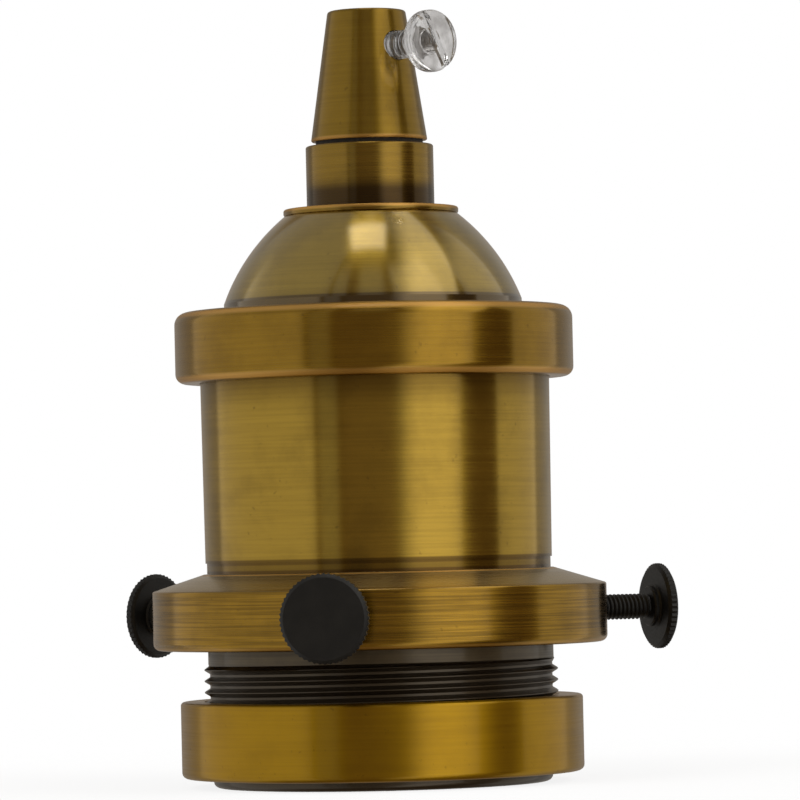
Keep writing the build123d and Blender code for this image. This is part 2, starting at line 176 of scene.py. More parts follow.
def rounded(corner, before, after, edge):
    """Points of an edge radius at a corner between two neighbours, in (radius, height), with one more point
    close to each end, which keeps the shading of the flats level."""
    corner, before, after = Vector(corner), Vector(before), Vector(after)
    first, second = (before - corner).normalized(), (after - corner).normalized()
    half = first.angle(second) / 2
    reach = edge / math.tan(half)
    centre = corner + (first + second).normalized() * edge / math.sin(half)
    start, end = corner + first * reach - centre, corner + second * reach - centre
    turn = start.angle_signed(end)
    arc = [centre + Matrix.Rotation(-turn * step / arc_steps, 2) @ start for step in range(arc_steps + 1)]
    return [tuple(point) for point in (arc[0] + first * edge / 20, *arc, arc[-1] + second * edge / 20)]


def outline(points, rounds):
    """An outline with the corners rounded for which rounds gives an edge radius."""
    made = []
    for number, point in enumerate(points):
        if number in rounds:
            after = points[(number + 1) % len(points)]
            made += rounded(point, points[number - 1], after, rounds[number])
        else:
            made.append(point)
    return made


def thread_rows(low, high, pitch, form, columns, ends, run=0.5, at=0.0):
    """Rows of a right-handed thread from low to high. form gives (share of a pitch, radius), ends the
    radius at each end, run the length in pitches over which the thread runs out, at a start's height."""
    rows = []
    first = math.floor((low - at) / pitch) - 1
    last = math.ceil((high - at) / pitch) + 1
    for turn in range(first, last):
        for share, radius in form:
            row = []
            for column in range(columns + 1):
                height = at + (turn + share + column / columns) * pitch
                height = min(max(height, low), high)
                depth = ends[0] + (radius - ends[0]) * smooth((height - low) / (run * pitch))
                depth = ends[1] + (depth - ends[1]) * smooth((high - height) / (run * pitch))
                row.append((depth, height))
            rows.append(row)
    return rows


def sharp_form(root, crest):
    """Cut thread: narrow crest, straight flanks, narrow root, with soft corners between them."""
    step = crest - root
    low, high = root + 0.08 * step, root + 0.92 * step
    return [(0.0, root), (0.1, root), (0.16, low), (0.42, high), (0.46, crest), (0.54, crest),
            (0.58, high), (0.84, low), (0.9, root)]


def rolled_form(root, crest):
    """Rolled thread: one round wave for each pitch."""
    middle, swing = (root + crest) / 2, (crest - root) / 2
    shares = [step / roll_steps for step in range(roll_steps)]
    return [(share, middle + swing * math.cos(math.tau * share)) for share in shares]


def solid_of(name, rows, columns, closed=True, place=None, sharp=32):
    """Mesh object from rows, closed round the axis and, unless closed is off, from last row to first."""
    made = bmesh.new()
    grid = []
    for row in rows:
        verts = []
        for column, (radius, height) in enumerate(row):
            turn = math.tau * column / columns
            verts.append(made.verts.new((radius * math.cos(turn), radius * math.sin(turn), height)))
        grid.append(verts)
    pairs = list(zip(grid, grid[1:]))
    if closed:
        pairs.append((grid[-1], grid[0]))
    for low, high in pairs:
        for column in range(columns):
            made.faces.new((low[column], low[column + 1], high[column + 1], high[column]))
    bmesh.ops.remove_doubles(made, verts=made.verts, dist=weld_distance)
    bmesh.ops.recalc_face_normals(made, faces=made.faces)
    if place is not None:
        bmesh.ops.transform(made, matrix=place, verts=made.verts)
    piece = object_of(name, made)
    shade(piece, sharp)
    return piece


def in_scene(name, data):
    """New object in the scene, of a mesh, a lamp or a camera."""
    made = bpy.data.objects.new(name, data)
    bpy.context.scene.collection.objects.link(made)
    return made


def object_of(name, made):
    """Object in the scene from a finished bmesh."""
    mesh = bpy.data.meshes.new(name)
    made.to_mesh(mesh)
    made.free()
    return in_scene(name, mesh)


def shade(piece, sharp):
    """Smooth shading, with sharp edges where faces meet at more than so many degrees."""
    piece.data.shade_smooth()
    piece.data.set_sharp_from_angle(angle=math.radians(sharp))


def cut(piece, cutter, sharp):
    """Take the cutter's volume out of the piece."""
    modifier = piece.modifiers.new("cut", "BOOLEAN")
    modifier.operation = "DIFFERENCE"
    modifier.solver = "EXACT"
    modifier.object = cutter
    bpy.context.view_layer.update()
    graph = bpy.context.evaluated_depsgraph_get()
    mesh = bpy.data.meshes.new_from_object(piece.evaluated_get(graph))
    piece.modifiers.clear()
    piece.data = mesh
    bpy.data.objects.remove(cutter)
    shade(piece, sharp)


def stand_for(piece, node, material):
    """The piece takes its node's place, body and finish."""
    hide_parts(node)
    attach(piece, frame["nodes"][node]["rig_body"])
    piece.data.materials.clear()
    piece.data.materials.append(material)


# Shader values: how far streaks follow the radius on flat faces, how soft a band ends, the tone of the
# painted lacquer sheen and of the painted highlight on worn edges, how much rougher worn brass is, and the
# depth of each fine relief
streak_slope = 0.83
band_blur = 0.1 * MM
sheen_grey = (200, 186, 146)
worn_glint_tone = (226, 176, 92)
worn_roughness = 0.28
grain_depth, fibre_depth, wave_depth = mm(0.02, 0.03, 0.1)


def colour(red, green, blue):
    """Linear colour from the 0 to 255 values that a screen shows."""
    def linear(value):
        value /= 255
        return value / 12.92 if value <= 0.04045 else ((value + 0.055) / 1.055) ** 2.4
    return (linear(red), linear(green), linear(blue), 1.0)


def add(tree, kind, sockets=None, **settings):
    """A node, with its settings, and with its sockets linked or set."""
    made = tree.nodes.new(kind)
    for name, value in settings.items():
        setattr(made, name, value)
    for name, value in (sockets or {}).items():
        if isinstance(value, bpy.types.NodeSocket):
            tree.links.new(value, made.inputs[name])
        else:
            made.inputs[name].default_value = value
    return made


def sums(tree, operation, *values):
    """The result of a maths node."""
    sockets = dict(enumerate(values))
    return add(tree, "ShaderNodeMath", sockets, operation=operation).outputs[0]


def spread(tree, value, low, high, to_low=0.0, to_high=1.0):
    """The value mapped softly from one range to another, and held at its ends."""
    sockets = {"Value": value, "From Min": low, "From Max": high, "To Min": to_low, "To Max": to_high}
    return add(tree, "ShaderNodeMapRange", sockets, interpolation_type="SMOOTHSTEP").outputs[0]


def mixed(tree, share, first, second):
    """Two colours mixed by a share of the second."""
    return add(tree, "ShaderNodeMix", {0: share, 6: first, 7: second}, data_type="RGBA").outputs[2]


def noise(tree, vector, scale, detail):
    """Noise from 0 to 1, with scale features for each metre."""
    sockets = {"Vector": vector, "Scale": scale, "Detail": detail, "Roughness": 0.55}
    return add(tree, "ShaderNodeTexNoise", sockets).outputs["Fac"]


def empty_tree(owner):
    """The node tree of a material or a world, with nothing in it yet."""
    owner.use_nodes = True
    owner.node_tree.nodes.clear()
    return owner.node_tree


def new_material(name):
    """A material with its tree, its shader and the position on the piece."""
    material = bpy.data.materials.new(name)
    tree = empty_tree(material)
    shader = add(tree, "ShaderNodeBsdfPrincipled")
    output = add(tree, "ShaderNodeOutputMaterial")
    tree.links.new(shader.outputs[0], output.inputs[0])
    position = add(tree, "ShaderNodeTexCoord").outputs["Object"]
    return material, tree, shader, position


def set_shader(shader, **values):
    """Constant values on the shader's own sockets, with underscores for spaces."""
    for name, value in values.items():
        shader.inputs[name.replace("_", " ")].default_value = value


def link(tree, value, shader, name):
    tree.links.new(value, shader.inputs[name])


def length(tree, first, second):
    """Length of a vector with these two parts."""
    return sums(tree, "SQRT", sums(tree, "ADD", sums(tree, "MULTIPLY", first, first),
                                   sums(tree, "MULTIPLY", second, second)))


def relief(tree, shader, height, strength, distance):
    """Fine relief of the surface, too small for the mesh."""
    bump = add(tree, "ShaderNodeBump", {"Strength": strength, "Distance": distance, "Height": height})
    link(tree, bump.outputs[0], shader, "Normal")


def turned_streaks(tree, position, across, along, detail):
    """Noise in lines round the holder's axis, also on its flat faces. across is the number of lines for
    each metre, along that of their changes round the axis."""
    x, y, z = add(tree, "ShaderNodeSeparateXYZ", {0: position}).outputs
    lift = sums(tree, "SUBTRACT", z, sums(tree, "MULTIPLY", length(tree, x, y), streak_slope))
    scaled = ((x, along), (y, along), (lift, across))
    parts = [sums(tree, "MULTIPLY", part, scale) for part, scale in scaled]
    vector = add(tree, "ShaderNodeCombineXYZ", dict(enumerate(parts))).outputs[0]
    return noise(tree, vector, 1.0, detail)


def band(level, start, full, end, depth):
    """A band of tone, with its heights in mm from a level: it grows from start to full, where it has its
    depth, and stops at end."""
    return (*(level + height * MM for height in (start, full, end)), depth)


def band_share(tree, height, start, full, end, depth):
    """How strong a band is at each point's height."""
    share = spread(tree, height, start, full, 0.0, depth)
    beyond = math.copysign(band_blur, full - start)
    return sums(tree, "MULTIPLY", share, spread(tree, height, end + beyond, end - beyond))


def worn_glint_edge(radius, inside, level, above, wide):
    """An edge with a painted highlight, partly standing for wear, so many mm inside a radius and above a
    level, and so wide.
    """
    return radius - inside * MM, level + above * MM, wide * MM


def antique_brass(name, light, dark, coarse=3200.0, line=0.14, rough=(0.18, 0.27), bump=0.08,
                  coat=0.2, patch=0.25, shadows=(), painted_sheen=(), worn_glints=()):
    """Brass darkened, brushed round the axis and lacquered, between two tones. coarse is the number of its
    dark lines for each metre and line their strength, patch that of its clouds. Bands of painted shadow are
    darker, bands of painted lacquer sheen are greyed, and worn edges get a painted highlight and are
    rougher."""
    material, tree, shader, position = new_material(name)
    scratches = turned_streaks(tree, position, across=9000.0, along=45.0, detail=2.0)
    lines = turned_streaks(tree, position, across=coarse, along=60.0, detail=4.0)
    clouds = noise(tree, position, 160.0, 4.0)
    specks = noise(tree, position, 1400.0, 3.0)
    dark_share = spread(tree, lines, 0.62, 0.36, 0.0, line)
    tone = mixed(tree, dark_share, light, dark)
    tone = mixed(tree, spread(tree, clouds, 0.42, 0.7, 0.0, patch), tone, dark)
    tone = mixed(tree, spread(tree, scratches, 0.3, 0.72, 0.0, 0.22), tone, light)
    tone = mixed(tree, spread(tree, specks, 0.66, 0.76, 0.0, 0.35), tone, dark)
    roughness = spread(tree, scratches, 0.25, 0.75, *rough)
    x, y, height = add(tree, "ShaderNodeSeparateXYZ", {0: position}).outputs
    # Painted shadow bands mix towards the dark tone, and painted lacquer sheen bands towards a pale grey
    for bands, changed in ((shadows, dark), (painted_sheen, colour(*sheen_grey))):
        for edges in bands:
            tone = mixed(tree, band_share(tree, height, *edges), tone, changed)
    # Painted highlight on edges, partly standing for wear, which also makes them rougher
    for radius, level, wide in worn_glints:
        away = length(tree, sums(tree, "SUBTRACT", length(tree, x, y), radius),
                      sums(tree, "SUBTRACT", height, level))
        share = spread(tree, away, wide, 0.4 * wide)
        tone = mixed(tree, share, tone, colour(*worn_glint_tone))
        roughness = sums(tree, "ADD", roughness, sums(tree, "MULTIPLY", share, worn_roughness))
    link(tree, tone, shader, "Base Color")
    link(tree, roughness, shader, "Roughness")
    grooves = sums(tree, "ADD", scratches, sums(tree, "MULTIPLY", lines, 1.6))
    relief(tree, shader, grooves, bump, grain_depth)
    tangent = add(tree, "ShaderNodeTangent", direction_type="RADIAL", axis="Z")
    link(tree, tangent.outputs[0], shader, "Tangent")
    set_shader(shader, Metallic=1.0, Anisotropic=0.85, Anisotropic_Rotation=0.25,
               Coat_Weight=coat, Coat_Roughness=0.1, Coat_IOR=1.6)
    return material


def dark_metal(name, light, dark, lighter_above, rough):
    """Dark plated metal with a turned surface, lighter above a height and darker below it."""
    material, tree, shader, position = new_material(name)
    scratches = turned_streaks(tree, position, across=7000.0, along=40.0, detail=2.0)
    clouds = noise(tree, position, 220.0, 4.0)
    height = add(tree, "ShaderNodeSeparateXYZ", {0: position}).outputs[2]
    tone = mixed(tree, spread(tree, clouds, 0.35, 0.65, 0.0, 0.5), light, dark)
    tone = mixed(tree, spread(tree, scratches, 0.35, 0.7, 0.0, 0.4), tone, dark)
    tone = mixed(tree, spread(tree, height, lighter_above + band_blur, lighter_above - band_blur), tone, dark)
    link(tree, tone, shader, "Base Color")
    link(tree, spread(tree, scratches, 0.25, 0.75, *rough), shader, "Roughness")
    relief(tree, shader, scratches, 0.2, grain_depth)
    set_shader(shader, Metallic=0.9, Coat_Weight=0.4, Coat_Roughness=0.12, Coat_IOR=1.5)
    return material


def black_finish(name, light, dark):
    """Blackened steel: fine grain, faint clouds, satin."""
    material, tree, shader, position = new_material(name)
    grain = noise(tree, position, 6500.0, 3.0)
    clouds = noise(tree, position, 500.0, 4.0)
    tone = mixed(tree, spread(tree, clouds, 0.35, 0.7), dark, light)
    tone = mixed(tree, spread(tree, grain, 0.6, 0.75, 0.0, 0.5), tone, light)
    link(tree, tone, shader, "Base Color")
    link(tree, spread(tree, grain, 0.3, 0.7, 0.38, 0.52), shader, "Roughness")
    relief(tree, shader, grain, 0.25, grain_depth)
    set_shader(shader, Metallic=0.25, IOR=1.5)
    return material


def glazed_porcelain(name):
    """White glaze with faint grey clouds and a few dark pin marks over an uneven body."""
    material, tree, shader, position = new_material(name)
    clouds = noise(tree, position, 130.0, 3.0)
    pins = noise(tree, position, 2600.0, 2.0)
    tone = mixed(tree, spread(tree, clouds, 0.35, 0.75), colour(230, 227, 218), colour(224, 220, 209))
    tone = mixed(tree, spread(tree, pins, 0.74, 0.8, 0.0, 0.6), tone, colour(120, 105, 85))
    link(tree, tone, shader, "Base Color")
    relief(tree, shader, clouds, 0.2, wave_depth)
    set_shader(shader, Roughness=0.22, IOR=1.5, Coat_Weight=0.7, Coat_Roughness=0.06)
    return material


def plain_metal(name, light, dark):
    """Bright stamped or turned metal with tarnish clouds and fine random scratches."""
    material, tree, shader, position = new_material(name)
    clouds = noise(tree, position, 300.0, 5.0)
    grain = noise(tree, position, 5400.0, 3.0)
    tone = mixed(tree, spread(tree, clouds, 0.35, 0.68), light, dark)
    link(tree, tone, shader, "Base Color")
    link(tree, spread(tree, grain, 0.3, 0.7, 0.18, 0.34), shader, "Roughness")
    relief(tree, shader, grain, 0.15, grain_depth)
    set_shader(shader, Metallic=1.0)
    return material


def clear_plastic(name):
    """Clear moulded acrylic with a trace of grey and a slightly wavy surface."""
    material, tree, shader, position = new_material(name)
    waves = noise(tree, position, 420.0, 2.0)
    tone = mixed(tree, spread(tree, waves, 0.35, 0.65), colour(214, 212, 210), colour(160, 157, 154))
    link(tree, tone, shader, "Base Color")
    link(tree, spread(tree, waves, 0.3, 0.7, 0.04, 0.14), shader, "Roughness")
    relief(tree, shader, waves, 0.25, wave_depth)
    set_shader(shader, IOR=1.49, Transmission_Weight=0.93)
    return material


def fibre_washer(name):
    """Dark pressed fibre, dull and uneven."""
    material, tree, shader, position = new_material(name)
    grain = noise(tree, position, 3000.0, 4.0)
    tone = mixed(tree, spread(tree, grain, 0.35, 0.7), colour(24, 20, 16), colour(46, 38, 28))
    link(tree, tone, shader, "Base Color")
    relief(tree, shader, grain, 0.4, fibre_depth)
    set_shader(shader, Roughness=0.7)
    return material


# Painted shade: darker just under the cap ring and towards the foot, with two thin dark lines at the foot
body_brass = antique_brass(
    "body_brass", colour(182, 148, 56), colour(84, 58, 18),
    shadows=(band(cap_ring_low, -4.1, 0.0, 10.0, 0.6), band(body_low, 1.8, 0.6, -0.1, 0.6),
             band(body_low, 1.6, 1.4, 0.9, 0.7), band(body_low, 0.4, 0.25, -0.1, 0.8)))
# Painted highlights on the cap ring's top and foot edges, partly standing for wear
cap_ring_brass = antique_brass(
    "cap_ring_brass", colour(160, 123, 37), colour(82, 54, 14), rough=(0.2, 0.3),
    worn_glints=(worn_glint_edge(cap_ring_radius, 0.23, cap_ring_high, -0.2, 0.7),
          worn_glint_edge(cap_ring_radius, 0.18, cap_ring_low, 0.2, 0.7)))
# Painted shade: the dome darkens towards its foot, with a dark line round the foot
dome_brass = antique_brass(
    "dome_brass", colour(180, 150, 59), colour(84, 62, 20), coat=1.0, line=0.12, bump=0.06,
    rough=(0.18, 0.26),
    shadows=(band(cap_ring_high, 2.15, 1.15, -10.0, 0.3), band(cap_ring_high, 1.25, 1.05, -10.0, 0.85)))
# Painted shade on the collar above its foot, and a painted highlight, partly standing for wear, on the
# foot's edge
collar_brass = antique_brass(
    "collar_brass", colour(150, 118, 44), colour(60, 42, 20), rough=(0.22, 0.34),
    shadows=(band(collar_low, 4.2, 2.4, 0.8, 0.9),),
    worn_glints=(worn_glint_edge(collar_radius, 0.05, collar_low, 0.76, 0.45),))
# Painted highlight, partly standing for wear, on the grip's foot edge
grip_brass = antique_brass(
    "grip_brass", colour(150, 118, 36), colour(72, 52, 16), rough=(0.3, 0.42), bump=0.2,
    worn_glints=(worn_glint_edge(grip_radius, -0.03, grip_low, 0.0, 0.5),))
# Painted lacquer sheen on the gallery's shoulder, and painted highlights, partly standing for wear, on its
# lower edge and seat
gallery_brass = antique_brass(
    "gallery_brass", colour(172, 132, 42), colour(52, 34, 12), coarse=4600.0, line=0.5, bump=0.2,
    rough=(0.22, 0.32), painted_sheen=(band(gallery_high, -2.0, -1.5, 10.0, 0.65),),
    worn_glints=(worn_glint_edge(gallery_radius, 0.0, gallery_low, 0.0, 0.5),
          worn_glint_edge(gallery_radius, 5.43, gallery_high, 0.0, 0.3)))
shade_ring_brass = antique_brass(
    "shade_ring_brass", colour(180, 138, 22), colour(96, 64, 10), line=0.12, patch=0.15,
    rough=(0.3, 0.4), bump=0.05)
# Lighter on the neck, darker over the thread and rim below it
skirt_metal = dark_metal("skirt_metal", colour(98, 85, 63), colour(76, 66, 52),
                         gallery_low - neck_length, (0.34, 0.46))
black_steel = black_finish("black_steel", colour(21, 19, 16), colour(16, 14, 12))
porcelain = glazed_porcelain("porcelain")
contact_brass = plain_metal("contact_brass", colour(226, 196, 128), colour(176, 140, 78))
zinc_steel = plain_metal("zinc_steel", colour(206, 206, 202), colour(150, 150, 148))
acrylic = clear_plastic("acrylic")
washer_fibre = fibre_washer("washer_fibre")

finishes = {
    dome_brass: ["dome_cap"],
    collar_brass: ["entry_collar"],
    grip_brass: ["cord_grip"],
    gallery_brass: ["gallery_flange"],
    black_steel: ["screw_bush_front", "screw_bush_right", "screw_bush_left"],
    washer_fibre: ["lock_washer"],
    porcelain: ["porcelain_insert"],
    contact_brass: ["centre_plunger", "centre_terminal", "shell_terminal",
                    "shell_rivet_1", "shell_rivet_2", "shell_rivet_3"],
    zinc_steel: ["nipple_locknut", "earth_tag", "earth_screw", "earth_nut",
                 "terminal_screw_live", "terminal_screw_neutral"],
}
for material, nodes in finishes.items():
    for node in nodes:
        for material_slot in frame["nodes"][node].material_slots:
            material_slot.material = material


def make_skirt():
    """Dark skirt with the shade ring's thread outside and the body's thread on its spigot."""
    columns = fine_columns
    seat = gallery_low - neck_length
    shoulder = spigot_top - spigot_length - seat_thickness
    ring = [(bore_radius, spigot_top), (bore_radius, mouth_depth), (mouth_radius, mouth_depth),
            (mouth_radius, skirt_low), (rim_radius, skirt_low), (rim_radius, rim_top)]
    rows = circles(outline(ring, {4: rim_edge}), columns)
    rows += thread_rows(rim_top, seat, skirt_pitch, sharp_form(thread_root, thread_crest), columns,
                        (rim_radius, neck_radius), at=skirt_thread_at)
    neck = [(neck_radius, seat + row_guard), (neck_radius, shoulder), (spigot_root, shoulder)]
    rows += circles(neck, columns)
    rows += thread_rows(shoulder, spigot_top, spigot_pitch, sharp_form(spigot_root, spigot_radius),
                        columns, (spigot_root, spigot_root))
    return solid_of("skirt_with_threads", rows, columns)


def make_shade_ring():
    """Shade ring, threaded inside to match the skirt."""
    columns = fine_columns
    corners = [(ring_bore, rim_top), (ring_radius, rim_top), (ring_radius, ring_top), (ring_bore, ring_top)]
    rows = circles(outline(corners, {1: ring_edges[0], 2: ring_edges[1]}), columns)
    inside = thread_rows(rim_top, ring_top, skirt_pitch,
                         sharp_form(thread_root + ring_bore - thread_crest, ring_bore),
                         columns, (ring_bore, ring_bore), at=skirt_thread_at)
    return solid_of("shade_ring_threaded", rows + inside[::-1], columns)


def make_body():
    """Body tube, threaded inside its foot for the skirt and outside its top for the cap ring."""
    columns = fine_columns
    ledge = spigot_top + insert_flange_height
    foot_top = body_low + body_foot_height
    start = cap_ring_low + cap_thread_start
    outside = [(body_foot, body_low), (body_foot, foot_top), (body_base, foot_top),
               (body_top, start - row_guard)]
    rows = circles(outside, columns)
    rows += thread_rows(start, body_high, cap_pitch,
                        sharp_form(cap_thread_root, body_top), columns, (body_top, cap_thread_root))
    bore = spigot_radius + thread_gap
    inside = [(body_bore, body_high), (body_bore, ledge + body_ledge_height),
              (body_ledge, ledge + body_ledge_height), (body_ledge, ledge), (bore, ledge)]
    rows += circles(inside, columns)
    foot = thread_rows(body_low, spigot_top, spigot_pitch, sharp_form(spigot_root + thread_gap, bore),
                       columns, (bore, bore))
    return solid_of("body_with_threads", rows + foot[::-1], columns)


def make_cap_ring():
    """Cap ring, threaded inside to match the body, with a lip over the dome's flange."""
    columns = fine_columns
    bore = body_top + thread_gap
    lip = cap_ring_high - cap_ring_lip
    corners = [(bore, cap_ring_low), (cap_ring_radius, cap_ring_low), (cap_ring_radius, cap_ring_high),
               (cap_ring_hole, cap_ring_high), (cap_ring_hole, lip), (bore, lip)]
    rows = circles(outline(corners, {1: cap_ring_edges[0], 2: cap_ring_edges[1]}), columns)
    inside = thread_rows(cap_ring_low + cap_thread_start, body_high, cap_pitch,
                         sharp_form(cap_thread_root + thread_gap, bore), columns, (bore, bore))
    return solid_of("cap_ring_threaded", rows + inside[::-1], columns)


def make_lamp_shell():
    """Lamp shell: thin sheet with the round lamp thread rolled into it, drawn in to its floor."""
    columns = shell_columns
    thread_top = shell_low + shell_thread_length

    def wall(offset):
        form = rolled_form(lamp_root + offset, lamp_crest + offset)
        return thread_rows(shell_low, thread_top, lamp_pitch, form, columns,
                           (shell_mouth + offset, lamp_crest + offset), run=0.35)

    inner_floor = shell_high - shell_wall
    floor = [(shell_floor, inner_floor), (shell_hole, inner_floor), (shell_hole, shell_high),
             (shell_floor + shell_wall, shell_high)]
    rows = wall(0.0) + circles(floor, columns) + wall(shell_wall)[::-1]
    return solid_of("lamp_shell_rolled", rows, columns, sharp=50)


def make_nipple():
    """Hollow nipple threaded from end to end."""
    columns = coarse_columns
    bore = [(nipple_bore, nipple_high), (nipple_bore, nipple_low), (nipple_root, nipple_low)]
    rows = circles(bore, columns)
    rows += thread_rows(nipple_low, nipple_high, nipple_pitch, sharp_form(nipple_root, nipple_crest),
                        columns, (nipple_root, nipple_root))
    return solid_of("nipple_threaded", rows, columns)


def radial_place(direction, height):
    """Local Z points out from the holder's axis along direction, local Y up."""
    side = Vector((0, 0, 1)).cross(direction)
    place = Matrix((side, (0, 0, 1), direction)).transposed().to_4x4()
    place.translation = (0, 0, height)
    return place


def joint_of(name):
    return next(joint for joint in frame["joints"] if joint["name"] == name)


def joint_axis(name):
    return Vector(joint_of(name)["axis"]).normalized()


def reach(node, direction):
    """The piece's two ends along a direction."""
    along = [v.co.dot(direction) for v in frame["nodes"][node].data.vertices]
    return min(along), max(along)


def middle_height(node):
    """Height of the middle of a piece."""
    low, high = low_and_high(node)
    return (low + high) / 2


def make_thumbscrew(side):
    """Thumbscrew: threaded shank, hub and a disc head with a knurled edge."""
    node = f"thumbscrew_{side}"
    direction = joint_axis(f"{node}_turn")
    tip, face = reach(node, direction)
    foot = face - thumb_head_height
    hub = foot - thumb_hub_height
    columns = 2 * knurl_teeth
    edge = thumb_head_edge
    groove = thumb_head - knurl_depth

    def knurled(height):
        return [(thumb_head - knurl_depth * (column % 2), height) for column in range(columns + 1)]

    rows = circles([(0.0, tip), (thumb_core, tip)], columns)
    rows += thread_rows(tip, hub, thumb_pitch, sharp_form(thumb_core, thumb_crest), columns,
                        (thumb_core, thumb_core))
    under = [(thumb_hub - thumb_hub_edge, hub), (thumb_hub, hub + thumb_hub_edge),
             (thumb_hub, foot - thumb_hub_foot), (thumb_hub + thumb_hub_foot, foot),
             (groove - edge, foot), (groove, foot + 0.7 * edge)]
    rows += circles(under, columns)
    rows += [knurled(foot + edge), knurled(face - edge)]
    over = [(groove, face - 0.7 * edge), (groove - edge, face), (flat_middle, face), (0.0, face)]
    rows += circles(over, columns)
    place = radial_place(direction, middle_height(node))
    return solid_of(f"{node}_knurled", rows, columns, closed=False, place=place)


def make_grip_screw():
    """Clear screw with a coarse thread and a rounded, slotted head."""
    node = "grip_screw"
    direction = joint_axis(f"{node}_turn")
    tip, face = reach(node, direction)
    foot = face - grip_head_height
    columns = coarse_columns
    rows = circles([(0.0, tip), (grip_core, tip)], columns)
    rows += thread_rows(tip, foot - grip_neck_height, grip_pitch, sharp_form(grip_core, grip_crest),
                        columns, (grip_core, grip_core))
    neck = [(grip_core, foot - grip_neck_fillet), (grip_core + grip_neck_fillet, foot)]
    profile = [(0.0, foot), (grip_head, foot), (grip_head, face), (0.0, face)]
    head = outline(profile, {1: grip_head_edges[0], 2: grip_head_edges[1]})[1:-1]
    rows += circles([*neck, *head, (0.4 * grip_head, face), (0.0, face)], columns)
    place = radial_place(direction, middle_height(node))
    piece = solid_of("grip_screw_clear", rows, columns, closed=False, place=place, sharp=40)
    tool = bmesh.new()
    bmesh.ops.create_cube(tool, size=1.0)
    slot_length = 2.4 * grip_head
    size = Matrix.Diagonal((slot_length, slot_width, 2 * slot_depth, 1.0))
    turned = Matrix.Rotation(slot_turn, 4, "Z")
    lifted = Matrix.Translation((0, 0, face))
    bmesh.ops.transform(tool, matrix=place @ lifted @ turned @ size, verts=tool.verts)
    cut(piece, object_of("slot_tool", tool), sharp=40)
    return piece


def make_spring():
    """Coil of round wire between the plunger's flange and the top of the insert."""
    low, high = low_and_high("plunger_spring")
    wire = spring_wire / 2
    radius = radius_of("plunger_spring") - wire
    steps = wire_steps * spring_turns
    made = bmesh.new()
    rings = []
    for step in range(steps + 1):
        turn = math.tau * spring_turns * step / steps
        out = Vector((math.cos(turn), math.sin(turn), 0))
        centre = out * radius
        centre.z = low + wire + (high - low - 2 * wire) * step / steps
        ring = []
        for corner in range(wire_corners):
            angle = math.tau * corner / wire_corners
            rise = Vector((0, 0, wire * math.sin(angle)))
            ring.append(made.verts.new(centre + out * wire * math.cos(angle) + rise))
        rings.append(ring)
    for before, after in zip(rings, rings[1:]):
        for corner in range(wire_corners):
            following = (corner + 1) % wire_corners
            made.faces.new((before[corner], before[following], after[following], after[corner]))
    made.faces.new(rings[0])
    made.faces.new(rings[-1])
    bmesh.ops.recalc_face_normals(made, faces=made.faces)
    piece = object_of("plunger_spring_coil", made)
    shade(piece, 50)
    return piece


stand_for(make_skirt(), "threaded_skirt", skirt_metal)
stand_for(make_shade_ring(), "shade_ring", shade_ring_brass)
stand_for(make_body(), "body_shell", body_brass)
stand_for(make_cap_ring(), "cap_ring", cap_ring_brass)
stand_for(make_lamp_shell(), "screw_shell", contact_brass)
stand_for(make_nipple(), "cap_nipple", zinc_steel)
for side in ("front", "right", "left"):
    stand_for(make_thumbscrew(side), f"thumbscrew_{side}", black_steel)
stand_for(make_grip_screw(), "grip_screw", acrylic)

# The coil takes the spring node's place and body, with a mesh of its own
spring = make_spring()
stand_for(spring, "plunger_spring", zinc_steel)
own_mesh(spring)


# Stage: floor, light and camera, in metres and degrees
floor_radius = 6.0
shadow_near, shadow_far, shadow_clearness = 0.02, 0.13, 0.86
base_light = 0.14
strip_left, strip_right = (0.917, 0.329, -0.227), (0.477, 0.747, -0.460)
strip_edges, strip_foot, strip_level = (0.13, 0.02), (-60, -40), 0.94
back_edges, back_level = (158, 172), 0.22
aim_height = 0.045
camera_place = (0.0, -0.6028, 0.02715)
camera_angles = (-0.265, 91.489, -1.308)
camera_lens, sensor_width = 242.4, 36.0

# Panels of light round the object, each between two angles across and two up, with a soft edge across, one
# up, and a strength. The last one hangs above, and its angles are from straight up, across and forward.
round_panels = (
    ((-128, -41), (-50, 30), 2, 10, 0.47),
    ((-165, -124), (-50, 30), 7, 10, 0.16),
    ((-150, -41), (30, 80), 2, 10, 0.24),
    ((-38, -25), (-50, 60), 2, 10, 0.22),
    ((-22, 20), (-50, 30), 4, 10, 0.08),
    ((-14, 12), (24, 62), 5, 8, 0.22),
    ((87, 130), (-50, 50), 1, 10, 0.46),
    ((126, 165), (-50, 50), 7, 10, 0.18),
    ((20, 66), (30, 60), 4, 6, 0.5),
)
top_panel = ((-12, 8), (-4, 16), 2, 3, 2.3)


